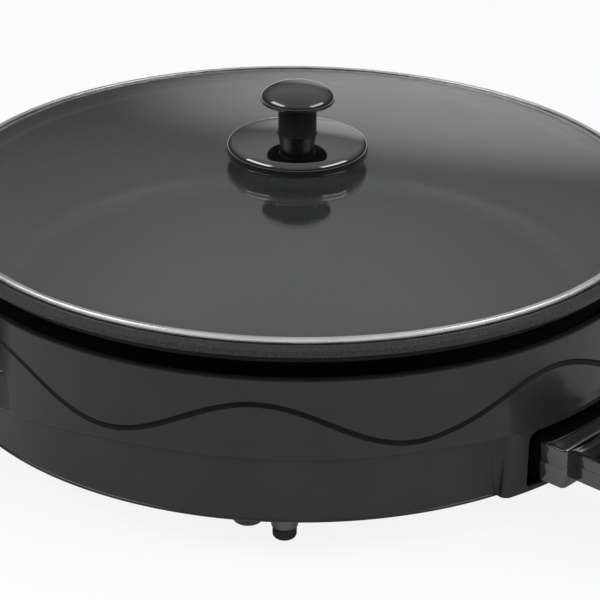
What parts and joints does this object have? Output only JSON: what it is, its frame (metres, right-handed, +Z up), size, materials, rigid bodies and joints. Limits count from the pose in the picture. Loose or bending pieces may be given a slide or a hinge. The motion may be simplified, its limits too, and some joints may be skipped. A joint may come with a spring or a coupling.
{
  "type": "electric skillet",
  "caption": "Round electric skillet: cast pan in a plastic housing with moulded handles, a domed glass lid with knob that lifts off, and a plug-in heat controller with a dial.",
  "frame": {"origin": "on the pan's axis, at the surface the feet stand on", "axes": "+Z up; +X towards the right handle; -Y towards the front, where the controller plugs in to the right of the middle"},
  "size_m": [0.4962, 0.4782, 0.1817],
  "materials": {
    "housing": "satin dark grey",
    "black_plastic": "satin black",
    "screw_steel": "plated",
    "plate_steel": "plain sheet",
    "rubber": "matt",
    "pan": "dark speckled non-stick coat",
    "spacer_aluminium": "plain",
    "element": "heat-dulled sheath",
    "brass": "plain",
    "ivory_plastic": "matt",
    "glass": "clear, polished",
    "rim_steel": "polished",
    "knob_plastic": "gloss black",
    "controller_plastic": "gloss black",
    "red_lens": "clear red",
    "lamp": "clear",
    "white_mark": "printed white"
  },
  "bodies": {
    "base": {"housing": "housing", "socket_frame": "housing", "handle_cover_left": "black_plastic", "handle_cover_right": "black_plastic", "handle_screws": "screw_steel", "bottom_plate": "plate_steel", "bottom_screws": "black_plastic", "foot_posts": "black_plastic", "foot_pads": "rubber", "foot_screws": "screw_steel", "pan": "pan", "pan_studs": "screw_steel", "stud_spacers": "spacer_aluminium", "stud_nuts": "screw_steel", "heat_reflector": "spacer_aluminium", "heating_element": "element", "terminal_pins": "brass", "terminal_block": "ivory_plastic", "probe_well": "plate_steel"},
    "lid": {"lid_glass": "glass", "lid_rim": "rim_steel", "knob_base": "knob_plastic", "knob": "knob_plastic", "knob_screw": "screw_steel", "knob_washer": "ivory_plastic"},
    "controller": {"controller_top": "controller_plastic", "controller_bottom": "controller_plastic", "contact_carrier": "ivory_plastic", "contact_sleeves": "brass", "probe": "plate_steel", "thermostat_block": "ivory_plastic", "indicator_lens": "red_lens", "indicator_lamp": "lamp", "cord_gland": "rubber", "case_screws": "screw_steel"},
    "dial": {"dial": "controller_plastic", "dial_mark": "white_mark", "dial_shaft": "plate_steel"}
  },
  "joints": [
    {"name": "lid_lift", "type": "slide", "parent": "base", "child": "lid", "axis": [0, 0, 1], "range_m": [0, 0.15]},
    {"name": "controller_pull", "type": "slide", "parent": "base", "child": "controller", "axis": [0.5, -0.866, 0], "range_m": [0, 0.12]},
    {"name": "dial_turn", "type": "hinge", "parent": "controller", "child": "dial", "pos_m": [0.1262, -0.21859, 0.0528], "axis": [0, 0, -1], "range_deg": [0, 270]}
  ]
}
